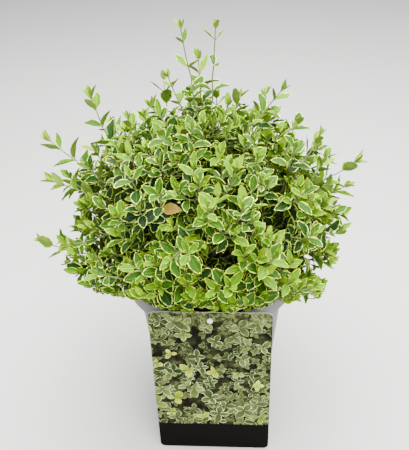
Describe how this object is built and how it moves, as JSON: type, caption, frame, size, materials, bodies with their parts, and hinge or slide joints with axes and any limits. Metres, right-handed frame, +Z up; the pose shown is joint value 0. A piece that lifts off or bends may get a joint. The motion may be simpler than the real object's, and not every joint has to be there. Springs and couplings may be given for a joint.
{
  "type": "potted wintercreeper euonymus shrub",
  "caption": "Mounded variegated evergreen shrub with upright leading shoots, in a rounded square nursery pot of compost with an upright card tag in front.",
  "frame": {"origin": "centre of the pot's flat underside", "axes": "+Z up, towards the leading shoots; the tag faces -Y; +X is to the right of someone who looks at the tag"},
  "size_m": [0.2947, 0.266, 0.4071],
  "materials": {
    "pot": "moulded, matte grey",
    "compost": "crumbly, dark and moist",
    "tag": "printed card, satin",
    "peg": "moulded, cream white",
    "bark": "green to grey young bark",
    "leaves": "leathery leaves, green with cream margins"
  },
  "bodies": {
    "root": {"pot": "pot", "compost": "compost", "tag": "tag", "tag_peg": "peg", "stem": "bark", "bough_top": "bark", "bough_upper_1": "bark", "bough_upper_2": "bark", "bough_upper_3": "bark", "bough_upper_4": "bark", "bough_upper_5": "bark", "bough_lower_1": "bark", "bough_lower_2": "bark", "bough_lower_3": "bark", "bough_lower_4": "bark", "bough_lower_5": "bark", "bough_lower_6": "bark", "bough_lower_7": "bark", "foliage_top": "leaves", "foliage_upper_1": "leaves", "foliage_upper_2": "leaves", "foliage_upper_3": "leaves", "foliage_upper_4": "leaves", "foliage_upper_5": "leaves", "foliage_lower_1": "leaves", "foliage_lower_2": "leaves", "foliage_lower_3": "leaves", "foliage_lower_4": "leaves", "foliage_lower_5": "leaves", "foliage_lower_6": "leaves", "foliage_lower_7": "leaves"}
  },
  "joints": []
}
